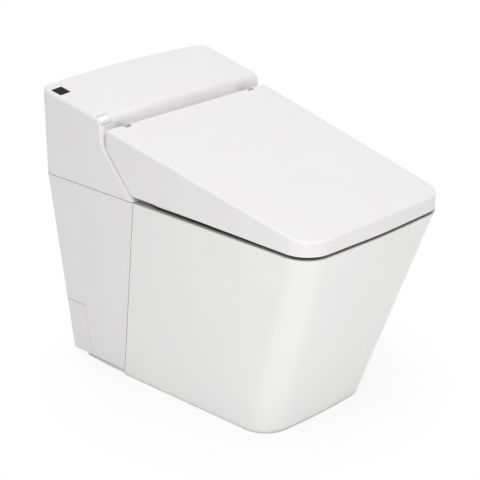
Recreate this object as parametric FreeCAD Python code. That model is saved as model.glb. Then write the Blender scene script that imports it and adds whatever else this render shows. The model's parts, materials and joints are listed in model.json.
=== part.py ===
import FreeCAD, Part
import math
import os

# Smart toilet with a heated seat, in millimetres.
# +Z is up, the front faces -Y, and the origin is the middle of the footprint on the floor.

V = FreeCAD.Vector

# ---- overall size ----
Y_FRONT = -330.0            # front of the rim and of the lid
Y_BACK = 330.0              # rear face, against the wall
RIM_Z = 394.0               # top of the ceramic rim
HALF_RIM = 195.0            # half width at the rim, where y is 0
TAPER_RIM = 0.047           # how much the half width grows for each millimetre to the rear
HALF_FOOT = 149.0           # half width on the floor, where y is 0
TAPER_FOOT = 0.050
Y_FRONT_FOOT = -199.0       # the front leans back this far down at the floor
CORNER_RIM = 52.0           # plan radius of the two front corners
CORNER_FOOT = 56.0
FRONT_BOW = 6.0             # the front edge stands this much proud in the middle
BOW_RADIUS = 1100.0
REAR_CORNER = 22.0

# ---- ceramic bowl ----
CHINA = 12.0                # wall of the fired clay
DECK_DEPTH = 26.0           # depth of the rim and deck
SEAM_TOP_Y = 84.0           # where the skirt ends at the rim, and the side cover starts
SEAM_FOOT_Y = 173.0
SEAM_GAP = 1.2
BASIN_HALF = 122.0          # the opening in the rim
BASIN_FRONT_Y = -276.0
BASIN_REAR_Y = 52.0
SUMP_Z = 140.0
SUMP_HALF = 38.0
SUMP_BEND = 20.0
BELLY_HALF = 102.0          # where the steep wall turns towards the sump
BELLY_Z = 254.0
BELLY_BEND = 70.0
TRAP_BORE = 27.0            # radius of the water way
TRAP_WALL = 10.0
TRAP_BEND = 45.0
WEIR_Z = 232.0              # middle of the water way at its crest
WEIR_Y = 82.0
ROUGH_IN = 200.0            # from the wall to the middle of the soil outlet
OUTLET_LENGTH = 44.0
WEB_HALF = 118.0            # the two walls behind the skirt
DECK_REAR_Y = 205.0
FOOT_HALF = 154.0           # the plinth that shows under the side covers
FOOT_REAR_Y = 303.0
FOOT_HEIGHT = 11.0
FOOT_BORDER = 34.0
FOOT_BOLT_X = 134.0
FOOT_BOLT_Y = 250.0
FOOT_BOLT_RADIUS = 5.5

# ---- side covers ----
SKIN = 3.0                  # wall of the moulded covers
COVER_FOOT_Z = 13.0
COVER_RETURN = 46.0         # how far the cover turns in across the back
COVER_RIB_DEPTH = 7.0
PANEL_TOP_Z = 124.0         # the pipe cut-out's cover, low at the rear
PANEL_LENGTH = 66.0
PANEL_GAP = 0.9
PANEL_SIDE_GAP = 0.35

# ---- casing ----
CASING_GAP = 0.7            # line between the casing and what is below it
CASING_FACE_Y = 163.0       # upright front face
CASING_KNEE_Z = 485.0       # below this height the front leans forward
KNEE_RADIUS = 26.0
CASING_TOP_MID_FRONT = 540.4
CASING_TOP_MID_REAR = 570.0
CASING_TOP_FRONT_Y = 166.0
CROWN_RADIUS = 3000.0       # the top is this gently crowned across
BEVEL_RADIUS = 15.0
EDGE_RADIUS = 8.0

# ---- lid and seat ----
HINGE_Y = 143.0             # one axis carries the lid and the seat
HINGE_Z = 500.0
BARREL_RADIUS = 17.5        # round rear edge of the lid
LID_WALL = 3.5
LID_FRONT_TOP_Z = 430.0
LID_CREASE_DROP = 7.5       # how far the sides of the top fall at the front
LID_CREASE_DROP_REAR = 1.0
LID_FRONT_BOTTOM_Z = 400.0
LID_REAR_BOTTOM_Z = 407.0
LID_EDGE_RADIUS = 5.0
LID_REAR_CORNER = 14.0
REAR_LEAN = 40.0            # degrees: the lid's rear edge leans this far from upright
SEAT_INSET = 8.5
SEAT_BOTTOM_Z = 399.0
SEAT_TOP_Z = 419.0
SEAT_REAR_Y = 76.0
SEAT_CORNER = 44.0
SEAT_REAR_CORNER = 46.0
SEAT_HOLE_HALF = 106.0
SEAT_HOLE_FRONT_Y = -250.0
SEAT_HOLE_REAR_Y = 12.0
SEAT_HOLE_FRONT_CORNER = 104.0
SEAT_HOLE_REAR_CORNER = 92.0
SEAT_SKIN = 3.0
SEAT_EDGE_RADIUS = 8.0
PIN_RADIUS = 4.5
RUNNING_FIT = 0.06
PIN_SEAT_GAP = 0.02         # the pins are glued into the ears
EAR_INNER_X = 150.0         # hinge ear between the seat's arm and the lid's boss
EAR_WIDTH = 14.0
EAR_GAP = 0.8
EAR_RADIUS = 12.7
ARM_WIDTH = 36.0
ARM_RADIUS = 12.6
ARM_BACK = 1.5              # the arm's rear face, behind the hinge axis
NOTCH_DEPTH = 14.5          # how far below the hinge axis the lid's notches reach
LID_BOSS_WIDTH = 10.0
LID_BOSS_RADIUS = 11.0
LID_BARREL_EDGE = 6.0        # degrees below level where the barrel's skin ends, behind the axis
LID_BACK_HALF = 188.0
DAMPER_RADIUS = 8.5
DAMPER_LENGTH = 24.0

# ---- nozzle ----
NOZZLE_TILT = 28.0          # degrees below level
NOZZLE_TIP_Y = 62.0
NOZZLE_TIP_Z = 362.0
WAND_RADIUS = 8.5
TIP_LENGTH = 13.9
TIP_WALL = 2.15
TIP_BORE_START = 5.9
WAND_LENGTH = 208.0
WAND_TRAVEL = 110.0
GUIDE_GAP = 0.4
GUIDE_WALL = 2.5
RACK_MODULE = 1.2
PINION_TEETH = 12
PINION_SEAT = 85.0          # from the wand's tip to the pinion's axle
PINION_WIDTH = 6.0
MESH_BACKLASH = 0.25
RACK_ADDENDUM = 0.65        # in modules: short, so that few teeth on the pinion run free
DEDENDUM = 1.25             # in modules
MOTOR_RADIUS = 12.0
MOTOR_LENGTH = 18.0
BAY_HALF = 85.0             # recess in the deck for the nozzle and the two ducts
BAY_REAR_Y = 158.0
BAY_DEPTH = 18.0            # below the wand's middle

# ---- ducts, fan and filter ----
DUCT_MID_X = 50.0
DUCT_WIDTH = 24.0
DUCT_WALL = 1.8
FAN_Y = 250.0
FAN_RADIUS = 45.0
FAN_HEIGHT = 36.0
WHEEL_RADIUS = 34.0
WHEEL_HEIGHT = 24.0
WHEEL_BLADES = 18
SHAFT_RADIUS = 2.0

# ---- flush button ----
BUTTON_LEFT_X = -198.5
BUTTON_WIDTH = 21.0
BUTTON_GAP = 0.5
BUTTON_TRAVEL = 3.0

# ---- receiver window ----
WINDOW_X = -189.5
WINDOW_Y = 290.0
WINDOW_WIDTH = 24.0
WINDOW_LENGTH = 26.0
WINDOW_DEPTH = 1.6

# ---- booster tank and pump ----
INLET_POINT = (-124.0, 326.0, 232.0)
INLET_RADIUS = 10.4
TANK_BOX = (16.0, 150.0, 224.0, 316.0, 92.0, 372.0)
TANK_CORNER = 14.0
TANK_WALL = 3.5
TANK_NECK_X = 60.0
PUMP_X = -60.0
PUMP_Y = 262.0
PUMP_RADIUS = 36.0
PUMP_SEAT_Z = 36.0
PIPE_Z = 53.0
JET_X = -26.0
JET_Y = -70.0

# ---- chassis ----
CHASSIS_PLATE = 3.0
CHASSIS_LIP = 9.0
CHASSIS_GAP = 0.4           # between its lip and the casing
CHASSIS_BOLT_X = 92.0
CHASSIS_BOLT_Y = 180.0
DECK_HOLE_RADIUS = 4.6
CHASSIS_HOLE_RADIUS = 4.4


# ---------------------------------------------------------------- helpers

def in_plan(z):
    """Place (x, y) at a height."""
    return lambda p: V(p[0], p[1], z)


def in_side(x):
    """Place (y, z) on the upright plane at x."""
    return lambda p: V(x, p[0], p[1])


def rounded_wire(points, radii, place):
    """Closed outline through corner points, each corner rounded to its own radius."""
    count = len(points)
    starts, mids, ends = [], [], []
    for i, (px, py) in enumerate(points):
        before = points[i - 1]
        after = points[(i + 1) % count]
        a = V(before[0] - px, before[1] - py, 0).normalize()
        b = V(after[0] - px, after[1] - py, 0).normalize()
        half = a.getAngle(b) / 2
        radius = radii[i]
        corner = V(px, py, 0)
        trim = radius / math.tan(half)
        bisector = (a + b).normalize() if radius else a
        middle = corner + bisector * (radius / math.sin(half) - radius)
        starts.append(corner + a * trim)
        mids.append(middle)
        ends.append(corner + b * trim)
    edges = []
    for i in range(count):
        nxt = (i + 1) % count
        if radii[i]:
            arc = [place((p.x, p.y)) for p in (starts[i], mids[i], ends[i])]
            edges.append(Part.Arc(*arc).toShape())
        one = place((ends[i].x, ends[i].y))
        two = place((starts[nxt].x, starts[nxt].y))
        if one.distanceToPoint(two) > 1e-6:
            edges.append(Part.LineSegment(one, two).toShape())
    return Part.Wire(edges)


def side_prism(points, radii, half_width, middle_x=0.0):
    """A side-view outline carried across the width."""
    wire = rounded_wire(points, radii, in_side(middle_x - half_width))
    return Part.Face(wire).extrude(V(2 * half_width, 0, 0))


def box(x0, x1, y0, y1, z0, z1):
    """Box between two corners."""
    return Part.makeBox(x1 - x0, y1 - y0, z1 - z0, V(x0, y0, z0))


def rod(radius, start, end):
    """Cylinder from one point to another."""
    axis = end - start
    return Part.makeCylinder(radius, axis.Length, start, axis)


def tube(outer, inner, start, end):
    """Pipe from one point to another."""
    return rod(outer, start, end).cut(rod(inner, start, end))


def mirrored(shape):
    """The same piece for the other side."""
    return shape.mirror(V(0, 0, 0), V(1, 0, 0))


def fused(shapes):
    """One solid of shapes that meet."""
    first = shapes[0]
    return first.fuse(shapes[1:]).removeSplitter() if len(shapes) > 1 else first


def smoothed(shape, radius, wanted):
    """Round the edges that the test picks."""
    edges = [edge for edge in shape.Edges if wanted(edge)]
    return shape.makeFillet(radius, edges)


def line_z(y, y0, z0, y1, z1):
    """Height of a straight line at y."""
    return z0 + (z1 - z0) * (y - y0) / (y1 - y0)


def half_rim(y):
    """Half width above the rim."""
    return HALF_RIM + TAPER_RIM * y


def half_width(z, y):
    """Half width of the body below the rim."""
    share = z / RIM_Z
    taper = TAPER_FOOT + (TAPER_RIM - TAPER_FOOT) * share
    return HALF_FOOT + (HALF_RIM - HALF_FOOT) * share + taper * y


def bow_tip(front, half):
    """Where the bowed front's two tangents meet, so that its round nose lies on the front line."""
    lean = (half - math.sqrt(half ** 2 - 2 * BOW_RADIUS * FRONT_BOW)) / BOW_RADIUS
    return front - BOW_RADIUS * (math.sqrt(1 + lean ** 2) - 1)


def skirt_wire(z, inset, rear_y, rear_radius):
    """Plan outline of the body at a height: every size runs straight from foot to rim."""
    share = z / RIM_Z
    front = Y_FRONT_FOOT + (Y_FRONT - Y_FRONT_FOOT) * share + inset
    corner = CORNER_FOOT + (CORNER_RIM - CORNER_FOOT) * share - inset
    shoulder = front + FRONT_BOW
    wide_front = half_width(z, shoulder) - inset
    wide_rear = half_width(z, rear_y) - inset
    points = [(0, bow_tip(front, wide_front)), (wide_front, shoulder), (wide_rear, rear_y),
              (-wide_rear, rear_y), (-wide_front, shoulder)]
    radii = [BOW_RADIUS, corner, rear_radius, rear_radius, corner]
    return rounded_wire(points, radii, in_plan(z))


def skirt_form(z0, z1, inset, rear_y, rear_radius=0.0):
    """The leaning body between two heights."""
    wires = [skirt_wire(z, inset, rear_y, rear_radius) for z in (z0, z1)]
    return Part.makeLoft(wires, True, True)


def rim_prism(z0, z1, inset, rear_y, rear_radius):
    """Upright prism on the rim's plan."""
    wire = skirt_wire(RIM_Z, inset, rear_y, rear_radius)
    wire.translate(V(0, 0, z0 - RIM_Z))
    return Part.Face(wire).extrude(V(0, 0, z1 - z0))


# ---------------------------------------------------------------- ceramic bowl

def basin_form(wall):
    """Basin from the rim to the sump: one profile turned at both ends, with a straight run between."""
    floor = SUMP_Z - wall
    side = [(SUMP_HALF + 0.7 * wall, floor), (BELLY_HALF + wall, BELLY_Z - 0.3 * wall),
            (BASIN_HALF + wall, RIM_Z)]
    bends = [SUMP_BEND + wall, BELLY_BEND + wall, 0]
    outline = side + [(-x, z) for x, z in reversed(side)]
    front = BASIN_FRONT_Y + BASIN_HALF
    rear = BASIN_REAR_Y - BASIN_HALF
    run = Part.Face(rounded_wire(outline, bends + bends[::-1], lambda p: V(p[0], front, p[1])))
    forms = [run.extrude(V(0, rear - front, 0))]
    for y in (front, rear):
        half = [(0, floor)] + side + [(0, RIM_Z)]
        face = Part.Face(rounded_wire(half, [0] + bends + [0], lambda p: V(p[0], y, p[1])))
        forms.append(face.revolve(V(0, y, 0), V(0, 0, 1), 360))
    return fused(forms)


def trap_path(lift):
    """Middle line of the water way: from the sump up over the weir and down to the outlet."""
    outlet_y = Y_BACK - ROUGH_IN
    entry_z = SUMP_Z + TRAP_BORE + 4.0
    start = V(0, BASIN_REAR_Y - BASIN_HALF + 35.0, entry_z)
    rise = V(0, WEIR_Y - 62.0, entry_z)
    crest = V(0, WEIR_Y, WEIR_Z + 24.0)
    fall = V(0, outlet_y, WEIR_Z - 40.0)
    end = V(0, outlet_y, lift)
    return [start, rise, crest, fall, end]


def pipe_along(points, radius, bend):
    """Round bar along straight runs, with each turn a tangent arc."""
    runs = []
    last = points[0]
    for i in range(1, len(points) - 1):
        a = (points[i - 1] - points[i]).normalize()
        b = (points[i + 1] - points[i]).normalize()
        half = a.getAngle(b) / 2
        trim = bend / math.tan(half)
        start = points[i] + a * trim
        end = points[i] + b * trim
        middle = points[i] + (a + b).normalize() * (bend / math.sin(half) - bend)
        runs.append(Part.LineSegment(last, start).toShape())
        runs.append(Part.Arc(start, middle, end).toShape())
        last = end
    runs.append(Part.LineSegment(last, points[-1]).toShape())
    path = Part.Wire(runs)
    direction = points[1] - points[0]
    ring = Part.Wire(Part.makeCircle(radius, points[0], direction))
    return path.makePipeShell([ring], True, False)


def beside(points, distance):
    """A path in the side view moved to its left by a distance."""
    moved = []
    for i, point in enumerate(points):
        before = points[max(i, 1)] - points[max(i, 1) - 1]
        after = points[min(i, len(points) - 2) + 1] - points[min(i, len(points) - 2)]
        first = V(0, -before.z, before.y).normalize()
        second = V(0, -after.z, after.y).normalize()
        middle = (first + second).normalize()
        moved.append(point + middle * (distance / middle.dot(first)))
    return moved


def trap_block():
    """Outside of the water way: its side view, as wide as it is deep."""
    path = trap_path(0.0)
    reach = TRAP_BORE + TRAP_WALL
    left, right = beside(path, reach), beside(path, -reach)
    inner, outer = TRAP_BEND - reach, TRAP_BEND + reach
    radii = [0, inner, outer, outer, 0] + [0, inner, inner, outer, 0]
    points = [(p.y, p.z) for p in left + right[::-1]]
    return side_prism(points, radii, reach)


def bay_floor(y, drop):
    """Height of the recess floor, which runs along under the wand."""
    tilt = math.radians(NOZZLE_TILT)
    return NOZZLE_TIP_Z + (y - NOZZLE_TIP_Y) * math.tan(tilt) - (BAY_DEPTH + drop) / math.cos(tilt)


def bay_form(drop, half, y0, y1, top):
    """The recess for the nozzle, or the wall round it when dropped and widened."""
    points = [(y0, bay_floor(y0, drop)), (y1, bay_floor(y1, drop)), (y1, top), (y0, top)]
    return side_prism(points, [0, 0, 0, 0], half)


def seam_cut(offset):
    """Everything behind the leaning seam between the skirt and the side covers."""
    top = SEAM_TOP_Y + offset
    foot = SEAM_FOOT_Y + offset
    over = (top - foot) / RIM_Z
    points = [(foot - over * 10, -10.0), (900.0, -10.0), (900.0, RIM_Z + 10), (top + over * 10, RIM_Z + 10)]
    return side_prism(points, [0, 0, 0, 0], 300.0)


def make_ceramic_bowl():
    """Skirted bowl: leaning skirt, basin, water way, deck, two rear walls and the foot."""
    outlet_y = Y_BACK - ROUGH_IN
    skirt = skirt_form(0.0, RIM_Z, 0.0, SEAM_FOOT_Y + 40.0)
    hollow = skirt_form(-RIM_Z * 0.02, RIM_Z - DECK_DEPTH, CHINA, SEAM_FOOT_Y + 80.0)
    skirt = skirt.cut(hollow).cut(seam_cut(0.0))
    end_wall = skirt_form(0.0, RIM_Z, CHINA / 2, SEAM_FOOT_Y + 40.0)
    end_wall = end_wall.cut(seam_cut(0.0)).common(seam_cut(-CHINA))
    end_wall = end_wall.cut(box(-WEB_HALF + CHINA, WEB_HALF - CHINA, -400, 400, -10, RIM_Z - DECK_DEPTH))
    deck = box(-WEB_HALF, WEB_HALF, SEAM_TOP_Y - 20, DECK_REAR_Y, RIM_Z - DECK_DEPTH, RIM_Z)
    webs = []
    for side in (-1, 1):
        inner = side * (WEB_HALF - CHINA)
        outer = side * WEB_HALF
        web = box(min(inner, outer), max(inner, outer), SEAM_TOP_Y - 20, DECK_REAR_Y, 0, RIM_Z)
        webs.append(web.common(seam_cut(-CHINA)))
    foot_wire = rounded_wire(
        [(-FOOT_HALF, SEAM_TOP_Y), (FOOT_HALF, SEAM_TOP_Y), (FOOT_HALF, FOOT_REAR_Y),
         (-FOOT_HALF, FOOT_REAR_Y)], [0, 0, REAR_CORNER, REAR_CORNER], in_plan(0))
    foot = Part.Face(foot_wire).extrude(V(0, 0, FOOT_HEIGHT)).common(seam_cut(-CHINA))
    window_half = FOOT_HALF - FOOT_BORDER
    foot = foot.cut(box(-window_half, window_half, -50, FOOT_REAR_Y - FOOT_BORDER, -5, 50))
    bar = box(-FOOT_HALF + 10, FOOT_HALF - 10, outlet_y - 14, outlet_y + 14, 0, FOOT_HEIGHT)
    for side in (-1, 1):
        x = side * FOOT_BOLT_X
        hole = rod(FOOT_BOLT_RADIUS, V(x, FOOT_BOLT_Y, -5), V(x, FOOT_BOLT_Y, 40))
        foot = foot.cut(hole)
    basin = basin_form(CHINA)
    pan = bay_form(CHINA, BAY_HALF + CHINA, BASIN_REAR_Y - 26, BAY_REAR_Y + CHINA, RIM_Z)
    trap = trap_block()
    collar = rod(TRAP_BORE + TRAP_WALL + 10, V(0, outlet_y, 0), V(0, outlet_y, OUTLET_LENGTH / 2))
    body = skirt.fuse([end_wall, deck] + webs + [foot, bar, basin, pan, trap, collar])
    water = basin_form(0.0)
    bore = pipe_along(trap_path(-5.0), TRAP_BORE, TRAP_BEND)
    bay = bay_form(0.0, BAY_HALF, BASIN_REAR_Y - 26, BAY_REAR_Y, RIM_Z + 20)
    bolt_holes = []
    for x in (-CHASSIS_BOLT_X, CHASSIS_BOLT_X):
        bolt_holes.append(rod(DECK_HOLE_RADIUS, V(x, CHASSIS_BOLT_Y, 300), V(x, CHASSIS_BOLT_Y, 420)))
    body = body.cut([water, bore, bay] + bolt_holes)
    return body.removeSplitter()


# ---------------------------------------------------------------- side covers

def cover_form():
    """Both side covers before they are parted: a thin shell on the body's leaning form."""
    top = RIM_Z - 0.3
    outer = skirt_form(COVER_FOOT_Z, top, 0.0, Y_BACK, REAR_CORNER)
    inner = skirt_form(COVER_FOOT_Z - 1, top + 1, SKIN, Y_BACK - SKIN, REAR_CORNER - SKIN)
    shell = outer.cut(inner).common(seam_cut(SEAM_GAP))
    rims = []
    for z in (COVER_FOOT_Z - 1, top + 1):
        half = half_width(z, Y_BACK) - COVER_RETURN
        corners = [(-half, Y_BACK - REAR_CORNER), (half, Y_BACK - REAR_CORNER), (half, 450.0), (-half, 450.0)]
        rims.append(rounded_wire(corners, [0] * 4, in_plan(z)))
    return shell.cut(Part.makeLoft(rims, True, True))


def seam_flange():
    """Inward flange of the covers along the seam, which bears on the end of the ceramic."""
    top = RIM_Z - 0.3
    outer = skirt_form(COVER_FOOT_Z, top, SKIN / 2, Y_BACK)
    inner = skirt_form(COVER_FOOT_Z - 1, top + 1, SKIN + COVER_RIB_DEPTH, Y_BACK + 20)
    return outer.cut(inner).common(seam_cut(0.3)).cut(seam_cut(0.3 + SKIN))


def cover_ribs():
    """Ribs inside the left cover that stiffen it and carry its clips."""
    top = RIM_Z - 0.3
    inner = skirt_form(COVER_FOOT_Z, top, SKIN - 0.5, Y_BACK - SKIN + 0.5, REAR_CORNER)
    core = skirt_form(COVER_FOOT_Z - 1, top + 1, SKIN + COVER_RIB_DEPTH, 400.0)
    band = inner.cut(core).common(seam_cut(SEAM_GAP + 2)).common(box(-300, 0, -400, Y_BACK - 30, 0, 500))
    heights = (COVER_FOOT_Z + 12, PANEL_TOP_Z + 14, 205.0, 290.0, RIM_Z - 16)
    slabs = [box(-300, 0, -400, 400, z, z + 2.0) for z in heights]
    return [band.common(slab) for slab in slabs]


def panel_zone(gap, side_gap):
    """Where the left pipe cut-out cover sits, low at the rear."""
    return box(-300, 0, Y_BACK - PANEL_LENGTH - side_gap, 400, -10, PANEL_TOP_Z + gap)


def make_side_cover():
    """Left side cover."""
    left_side = box(-300, 0, -400, 400, -10, 500)
    left = cover_form().common(left_side)
    flange = seam_flange().common(left_side)
    ribs = [rib.cut(panel_zone(12, 12)) for rib in cover_ribs()]
    return fused([left.cut(panel_zone(PANEL_GAP, PANEL_SIDE_GAP)), flange] + ribs)


def make_pipe_panel():
    """Left cover of the pipe cut-out, with two tongues that hold it behind the side cover."""
    panel = cover_form().common(panel_zone(0.0, 0.0))
    y_mid = Y_BACK - PANEL_LENGTH / 2
    inside = skirt_form(COVER_FOOT_Z, RIM_Z, SKIN + 0.4, Y_BACK - SKIN - 0.4, REAR_CORNER - SKIN)
    deeper = skirt_form(COVER_FOOT_Z - 1, RIM_Z + 1, SKIN + 2.4, 400.0)
    tongue = inside.cut(deeper).common(box(-300, 0, y_mid - 9, y_mid + 9, PANEL_TOP_Z - 14, PANEL_TOP_Z + 9))
    root = skirt_form(COVER_FOOT_Z, RIM_Z, SKIN - 1.0, Y_BACK - SKIN, REAR_CORNER)
    root = root.cut(deeper).common(box(-300, 0, y_mid - 9, y_mid + 9, PANEL_TOP_Z - 14, PANEL_TOP_Z - 5))
    return fused([panel, tongue, root])


# ---------------------------------------------------------------- casing

def lean_direction():
    """Unit vector down along the casing's leaning front, and the one square to it, outwards."""
    down = V(0, SEAM_TOP_Y - CASING_FACE_Y, RIM_Z - CASING_KNEE_Z).normalize()
    out = V(0, down.z, -down.y)
    return down, out


def casing_top(x, y):
    """Height of the casing's crowned top."""
    mid = line_z(y, CASING_TOP_FRONT_Y, CASING_TOP_MID_FRONT, Y_BACK, CASING_TOP_MID_REAR)
    return mid - CROWN_RADIUS + math.sqrt(CROWN_RADIUS ** 2 - x * x)


def crowned_block(inset, front_radius):
    """All that lies under the crowned top and behind the front face: a side view turned about a far axis."""
    face = CASING_FACE_Y + inset
    rear = Y_BACK + 40.0
    points = [(face, 300.0), (face, casing_top(0, face) - inset),
              (rear, casing_top(0, rear) - inset), (rear, 300.0)]
    wedge = Part.Face(rounded_wire(points, [0, front_radius, 0, 0], in_side(0)))
    centre = V(0, 0, CASING_TOP_MID_FRONT - CROWN_RADIUS)
    swing = math.degrees(math.asin(300.0 / CROWN_RADIUS))
    wedge.rotate(centre, V(0, 1, 0), -swing)
    return wedge.revolve(centre, V(0, 1, 0), 2 * swing)


def casing_form(inset):
    """The casing's outside, or its hollow when set in by the wall."""
    bottom = RIM_Z + CASING_GAP if not inset else RIM_Z - 30
    front, rear = SEAM_TOP_Y - 30, Y_BACK - inset
    corner = REAR_CORNER - inset
    half_front, half_rear = half_rim(front) - inset, half_rim(rear) - inset
    points = [(-half_front, front), (half_front, front), (half_rear, rear), (-half_rear, rear)]
    plan = Part.Face(rounded_wire(points, [0, 0, corner, corner], in_plan(bottom))).extrude(V(0, 0, 250))
    down, out = lean_direction()
    tip = V(0, SEAM_TOP_Y, RIM_Z) - out * inset
    knee = V(0, CASING_FACE_Y, CASING_KNEE_Z) - out * inset
    face = CASING_FACE_Y + inset
    knee_z = knee.z + (face - knee.y) * down.z / down.y
    low = tip + down * 60.0
    profile = [(low.y, low.z), (400.0, low.z), (400.0, 510.0), (face, 510.0), (face, knee_z)]
    lower = plan.common(side_prism(profile, [0, 0, 0, 0, KNEE_RADIUS + inset], 300.0))
    upper = plan.common(crowned_block(inset, BEVEL_RADIUS - inset))
    upper = upper.common(box(-300, 300, 0, 400, 510.0, 700))
    form = fused([lower, upper])
    return smoothed(form, EDGE_RADIUS - inset, on_casing_front_side)


def upright(edge):
    """A straight vertical edge."""
    box_ = edge.BoundBox
    return box_.XLength < 0.01 and box_.YLength < 0.01 and box_.ZLength > 20


def on_casing_front_side(edge):
    """The two side edges of the front; the rounding runs on from them all round the top."""
    where = edge.CenterOfMass
    box_ = edge.BoundBox
    on_side = abs(abs(where.x) - half_rim(where.y)) < SKIN + 1
    steep = box_.ZLength > 20 and where.y < CASING_FACE_Y + SKIN + 2
    return on_side and steep


def button_zone(gap, depth):
    """The block that cuts the button, or its slot, out of the bevel."""
    x0 = BUTTON_LEFT_X - gap
    x1 = BUTTON_LEFT_X + BUTTON_WIDTH + gap
    nose = bevel_point()
    along = V(0, 1, 1).normalize()
    inward = V(0, 1, -1).normalize()
    half = BEVEL_RADIUS * 0.62 + gap
    corners = [nose + along * half - inward * 20, nose + along * half + inward * depth,
               nose - along * half + inward * depth, nose - along * half - inward * 20]
    wire = Part.makePolygon([V(x0, p.y, p.z) for p in corners + corners[:1]])
    return Part.Face(wire).extrude(V(x1 - x0, 0, 0))


def bevel_point():
    """Middle of the bevel at the button, on the casing's outside."""
    top = casing_top(BUTTON_LEFT_X + BUTTON_WIDTH / 2, CASING_FACE_Y + BEVEL_RADIUS)
    centre = V(0, CASING_FACE_Y + BEVEL_RADIUS, top - BEVEL_RADIUS)
    return centre + V(0, -1, 1).normalize() * BEVEL_RADIUS


def window_form(grow, depth):
    """The receiver window's plan, carried down from above the top."""
    x0 = WINDOW_X - WINDOW_WIDTH / 2
    x1 = WINDOW_X + WINDOW_WIDTH / 2
    y0 = WINDOW_Y - WINDOW_LENGTH / 2
    y1 = WINDOW_Y + WINDOW_LENGTH / 2
    skew = TAPER_RIM * WINDOW_LENGTH / 2
    points = [(x0 + skew - grow, y0 - grow), (x1 + skew + grow, y0 - grow),
              (x1 - skew + grow, y1 + grow), (x0 - skew - grow, y1 + grow)]
    wire = rounded_wire(points, [2.0 + grow] * 4, in_plan(500.0))
    slab = Part.Face(wire).extrude(V(0, 0, 100.0))
    return slab.cut(crowned_block(depth, 0))


def neck_zone(side, gap):
    """The block that a hinge ear's neck takes up where it comes through the casing's front."""
    down, out = lean_direction()
    axis = V(0, HINGE_Y, HINGE_Z)
    half = 8.0 + gap
    inner = side * (EAR_INNER_X + 1 - gap)
    outer = side * (EAR_INNER_X + EAR_WIDTH - 1 + gap)
    upper, lower = axis - down * half, axis + down * half
    corners = [lower, upper, upper - out * 75, lower - out * 75]
    wire = Part.makePolygon([V(min(inner, outer), p.y, p.z) for p in corners + corners[:1]])
    return Part.Face(wire).extrude(V(abs(outer - inner), 0, 0))


def make_casing():
    """Top cover of the works: crowned, tapered shell with a leaning front."""
    shell = casing_form(0.0).cut(casing_form(SKIN))
    shell = shell.common(box(-300, 300, 0, 400, RIM_Z + CASING_GAP, 700))
    cuts = [neck_zone(-1, 0.6), neck_zone(1, 0.6), button_zone(BUTTON_GAP, 14.0)]
    cuts.append(window_form(0.25, WINDOW_DEPTH))
    for i in range(9):
        x = -64.0 + 16.0 * i
        cuts.append(box(x - 3, x + 3, Y_BACK - 10, Y_BACK + 10, 455, 495))
    cuts.append(box(-BAY_HALF, BAY_HALF, SEAM_TOP_Y - 4, SEAM_TOP_Y + 16, RIM_Z, RIM_Z + 8))
    gland = rod(9.0, V(-150, Y_BACK - 10, 425), V(-150, Y_BACK + 10, 425))
    cuts.append(gland)
    return shell.cut(cuts)


def make_window():
    """Black receiver window, let into the top."""
    plate = window_form(0.0, WINDOW_DEPTH - 0.05)
    return plate.common(crowned_block(0.1, 0))


def make_flush_button():
    """Plated push button that wraps over the bevel, with its stem."""
    cap = casing_form(0.0).cut(casing_form(SKIN)).common(button_zone(0.0, 9.0))
    nose = bevel_point()
    inward = V(0, 1, -1).normalize()
    x_mid = BUTTON_LEFT_X + BUTTON_WIDTH / 2 + 2
    base = V(x_mid, nose.y, nose.z)
    stem = rod(3.0, base + inward * 2.0, base + inward * 16.0)
    return fused([cap, stem])


def make_button_guide():
    """Sleeve behind the button that its stem slides in, on an arm from the chassis."""
    nose = bevel_point()
    inward = V(0, 1, -1).normalize()
    x_mid = BUTTON_LEFT_X + BUTTON_WIDTH / 2 + 2
    base = V(x_mid, nose.y, nose.z)
    sleeve = rod(6.5, base + inward * 12.0, base + inward * 26.0)
    post = box(x_mid - 4, x_mid + 4, base.y + 3, base.y + 11, RIM_Z + CHASSIS_PLATE, base.z - 12)
    bore = rod(3.0 + RUNNING_FIT, base, base + inward * 20.5)
    return fused([sleeve, post]).cut(bore)


# ---------------------------------------------------------------- chassis

def chassis_wire(inset, z):
    """Plan of the chassis, just inside the casing."""
    side = SKIN + CHASSIS_GAP + inset
    front = SEAM_TOP_Y + 12.0 + inset
    rear = Y_BACK - side
    points = [(side - half_rim(front), front), (half_rim(front) - side, front), (half_rim(rear) - side, rear),
              (side - half_rim(rear), rear)]
    corner = REAR_CORNER - side
    return rounded_wire(points, [0, 0, corner, corner], in_plan(z))


def make_chassis():
    """Moulded base plate of the works, with a lip, cross ribs and the cut-out for the nozzle bay."""
    z0 = RIM_Z
    plate = Part.Face(chassis_wire(0, z0)).extrude(V(0, 0, CHASSIS_PLATE))
    lip = Part.Face(chassis_wire(0, z0)).extrude(V(0, 0, CHASSIS_LIP))
    lip = lip.cut(Part.Face(chassis_wire(2.2, z0)).extrude(V(0, 0, CHASSIS_LIP + 1)))
    lip = lip.common(box(-300, 300, SEAM_TOP_Y + 36, 400, z0, 500))
    ribs = [box(-130, 130, y - 1, y + 1, z0, z0 + 6) for y in (206.0, 312.0)]
    body = fused([plate, lip] + ribs)
    bay = box(-BAY_HALF + 2, BAY_HALF - 2, 0, BAY_REAR_Y - 2, z0 - 5, z0 + 20)
    inlet = box(-96, -64, 268, 300, z0 - 5, z0 + 5)
    flush = box(-30, 30, 262, 300, z0 - 5, z0 + 5)
    holes = []
    for x in (-CHASSIS_BOLT_X, CHASSIS_BOLT_X):
        holes.append(rod(CHASSIS_HOLE_RADIUS, V(x, CHASSIS_BOLT_Y, z0 - 5), V(x, CHASSIS_BOLT_Y, z0 + 5)))
    return body.cut([bay, inlet, flush] + holes)


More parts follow.
